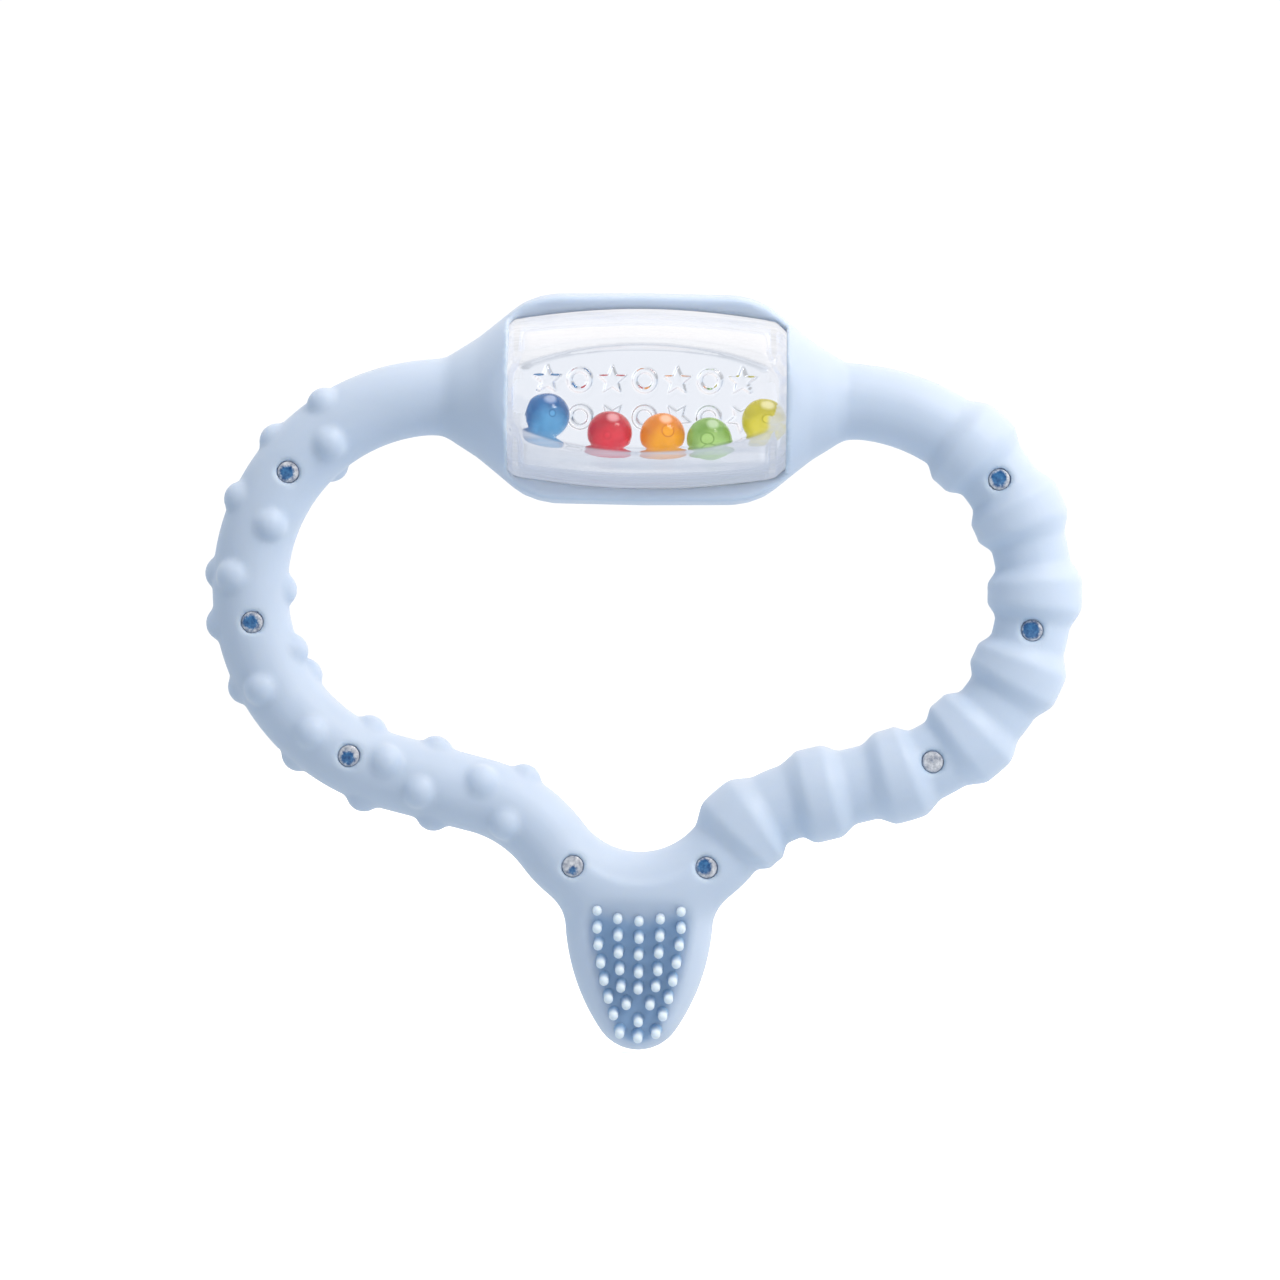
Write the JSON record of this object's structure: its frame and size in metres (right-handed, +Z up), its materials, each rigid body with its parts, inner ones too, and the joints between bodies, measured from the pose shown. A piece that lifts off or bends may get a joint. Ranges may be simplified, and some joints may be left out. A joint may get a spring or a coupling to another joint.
{
  "type": "teething ring",
  "caption": "Soft silicone teething ring over a clear core, with a rattle capsule of loose coloured beads, chewing nubs, ridges and a bristled brush tongue.",
  "frame": {"origin": "tip of the brush tongue, on the ring's plane of symmetry, midway through its depth", "axes": "+X to the ridged side, +Z up from the brush tip to the rattle capsule, -Y out of the bristled front"},
  "size_m": [0.114, 0.0204, 0.0984],
  "materials": {
    "silicone": "matte soft-touch silicone",
    "clear_core": "clear, polished",
    "bead_blue": "translucent, glossy",
    "bead_red": "translucent, glossy",
    "bead_orange": "translucent, glossy",
    "bead_green": "translucent, glossy",
    "bead_yellow": "translucent, glossy"
  },
  "bodies": {
    "ring": {"silicone_ring": "silicone", "core_front_half": "clear_core", "core_rear_half": "clear_core"},
    "blue_bead": {"bead_blue": "bead_blue"},
    "red_bead": {"bead_red": "bead_red"},
    "orange_bead": {"bead_orange": "bead_orange"},
    "green_bead": {"bead_green": "bead_green"},
    "yellow_bead": {"bead_yellow": "bead_yellow"}
  },
  "joints": [
    {"name": "blue_bead_hop", "type": "slide", "parent": "ring", "child": "blue_bead", "axis": [0, 0, 1], "range_m": [-0.0025, 0.0068]},
    {"name": "red_bead_hop", "type": "slide", "parent": "ring", "child": "red_bead", "axis": [0, 0, 1], "range_m": [-0.0012, 0.01]},
    {"name": "orange_bead_hop", "type": "slide", "parent": "ring", "child": "orange_bead", "axis": [0, 0, 1], "range_m": [-0.0011, 0.0102]},
    {"name": "green_bead_hop", "type": "slide", "parent": "ring", "child": "green_bead", "axis": [0, 0, 1], "range_m": [-0.0006, 0.011]},
    {"name": "yellow_bead_hop", "type": "slide", "parent": "ring", "child": "yellow_bead", "axis": [0, 0, 1], "range_m": [-0.0005, 0.0057]}
  ]
}
